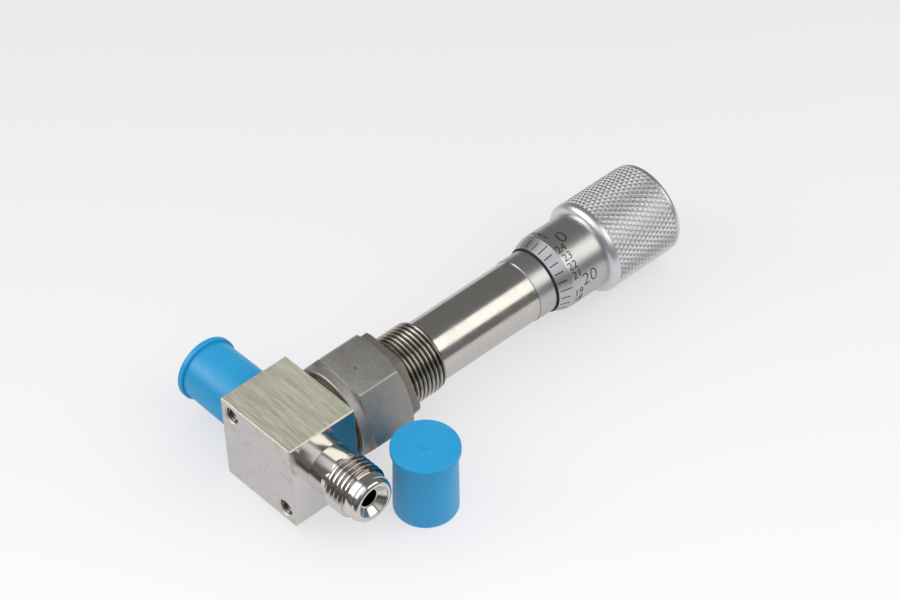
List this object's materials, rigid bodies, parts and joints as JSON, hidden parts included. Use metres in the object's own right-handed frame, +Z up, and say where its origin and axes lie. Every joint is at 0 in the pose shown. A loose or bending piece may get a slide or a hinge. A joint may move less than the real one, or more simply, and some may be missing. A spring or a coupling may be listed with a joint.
{
  "type": "metering valve",
  "caption": "Straight-through bellows-sealed metering valve: square block, male face-seal ends, panel nut, micrometer thimble with knurled grip, push-on port caps.",
  "frame": {"origin": "centre of the block's mounting face, which is the centre of the two-hole mounting circle, on the stem axis", "axes": "+X along the stem from the mounting face to the knurled grip; +Z up from the bench that the valve lies on; the flow axis lies 3.5 degrees off Y, with the capped outlet on the +Y side"},
  "size_m": [0.1281, 0.0704, 0.0269],
  "materials": {
    "brushed_block": "brushed along the flow axis, bright edges",
    "polished_steel": "mirror polished",
    "bright_thread": "bright cut thread",
    "satin_nut": "dull satin with small stains",
    "polished_tube": "polished, fine turning marks",
    "satin_chrome": "satin chrome",
    "seat_alloy": "ground",
    "nickel_ring": "plain",
    "bellows_steel": "thin drawn steel",
    "bronze": "turned bronze",
    "spring_steel": "spring steel",
    "ball_steel": "ground and hardened",
    "seal_rubber": "matte",
    "blue_plastic": "soft moulded plastic"
  },
  "bodies": {
    "root": {"valve_body": "brushed_block", "inlet_fitting": "polished_steel", "outlet_fitting": "polished_steel", "seat_insert": "seat_alloy", "body_gasket": "nickel_ring", "bonnet": "bright_thread", "bonnet_nut": "satin_nut", "panel_nut": "satin_nut", "bellows": "bellows_steel", "bellows_top_ring": "polished_steel", "stem_bush": "bronze", "stem_guide": "bronze", "return_spring": "spring_steel", "bonnet_tube": "polished_tube", "graduated_sleeve": "satin_chrome", "thread_bush": "bronze", "adjusting_nut": "bronze", "spindle_seal": "seal_rubber"},
    "stem": {"needle_tip": "seat_alloy", "stem": "polished_steel", "bellows_bottom_ring": "polished_steel", "spring_plate": "polished_steel", "cross_pin": "polished_steel", "thrust_ball": "ball_steel"},
    "handle": {"micrometer_spindle": "ball_steel", "thimble": "satin_chrome", "knurled_grip": "satin_chrome", "end_cover": "satin_chrome", "spindle_screw": "spring_steel"},
    "fitted_cap": {"fitted_cap": "blue_plastic"},
    "loose_cap": {"loose_cap": "blue_plastic"}
  },
  "joints": [
    {"name": "stem_travel", "type": "slide", "parent": "root", "child": "stem", "axis": [1, 0, 0], "range_m": [0, 0.00635], "deforming": ["bellows", "return_spring"]},
    {"name": "thimble_turn", "type": "hinge", "parent": "stem", "child": "handle", "pos_m": [0.1, 0, 0], "axis": [1, 0, 0], "range_deg": [0, 3600]},
    {"name": "fitted_cap_pull", "type": "slide", "parent": "root", "child": "fitted_cap", "axis": [0, 0.9981, -0.061], "range_m": [0, 0.03]},
    {"name": "loose_cap_lift", "type": "slide", "parent": "root", "child": "loose_cap", "axis": [0, 0, 1], "range_m": [0, 0.03]}
  ],
  "couplings": [
    {"joint": "stem_travel", "follows": "thimble_turn", "m_per_rad": 0.00010106}
  ]
}
